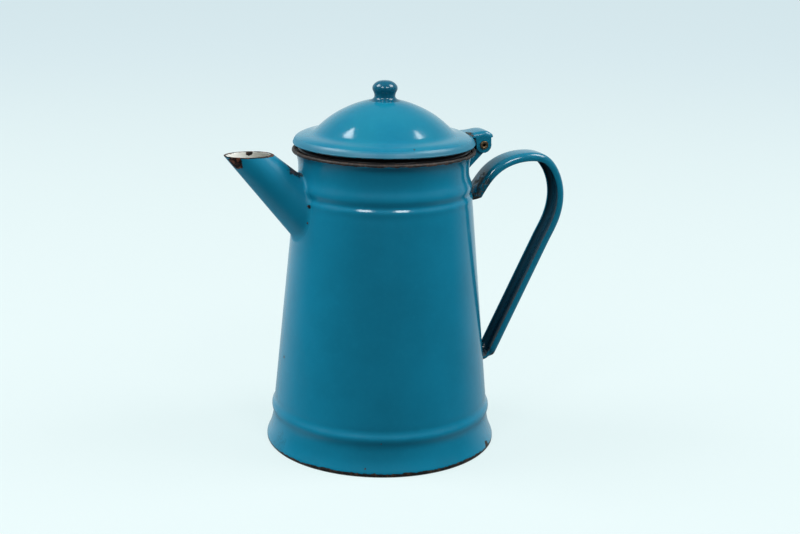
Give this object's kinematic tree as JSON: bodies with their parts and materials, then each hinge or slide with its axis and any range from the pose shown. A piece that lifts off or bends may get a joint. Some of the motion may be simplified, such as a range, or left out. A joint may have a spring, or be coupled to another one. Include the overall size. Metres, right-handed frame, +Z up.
{
  "type": "coffee percolator",
  "caption": "Tapered enamelled steel coffee pot with a slanted conical spout, a channel strap handle, a hinged domed lid with a knob, and a loose pump and basket inside.",
  "frame": {"origin": "on the pot's axis, on the plane that it stands on", "axes": "+Z up along the pot's axis, +X towards the handle, the spout along -X, and Y across"},
  "size_m": [0.2165, 0.144, 0.226],
  "materials": {
    "blue_enamel": "glossy vitreous enamel, chipped and worn to dark iron at the edges",
    "dark_enamel": "black edge enamel, satin",
    "aluminium": "spun, satin",
    "brass": "tarnished rivet",
    "steel": "satin"
  },
  "bodies": {
    "pot": {"pot_wall": "blue_enamel", "bottom_pan": "blue_enamel", "spout": "blue_enamel", "handle_strap": "blue_enamel", "hinge_bracket": "blue_enamel", "hinge_pin": "brass"},
    "lid": {"lid_shell": "blue_enamel", "lid_knob": "blue_enamel", "lid_collar": "dark_enamel", "lid_hinge_tab": "blue_enamel"},
    "pump": {"pump_base": "aluminium", "pump_tube": "aluminium", "stop_ring": "aluminium", "valve_cage": "aluminium"},
    "valve": {"pump_valve": "steel"},
    "basket": {"basket": "aluminium", "basket_sleeve": "aluminium"},
    "spreader": {"spreader": "aluminium", "spreader_collar": "aluminium"}
  },
  "joints": [
    {"name": "lid_hinge", "type": "hinge", "parent": "pot", "child": "lid", "pos_m": [0.0615, 0, 0.186], "axis": [0, 1, 0], "range_deg": [0, 115]},
    {"name": "pump_lift", "type": "slide", "parent": "pot", "child": "pump", "axis": [0, 0, 1], "range_m": [0, 0.008]},
    {"name": "valve_lift", "type": "slide", "parent": "pump", "child": "valve", "axis": [0, 0, 1], "range_m": [0, 0.0015]},
    {"name": "basket_lift", "type": "slide", "parent": "pump", "child": "basket", "axis": [0, 0, 1], "range_m": [0, 0.005]},
    {"name": "spreader_lift", "type": "slide", "parent": "basket", "child": "spreader", "axis": [0, 0, 1], "range_m": [0, 0.004]}
  ]
}
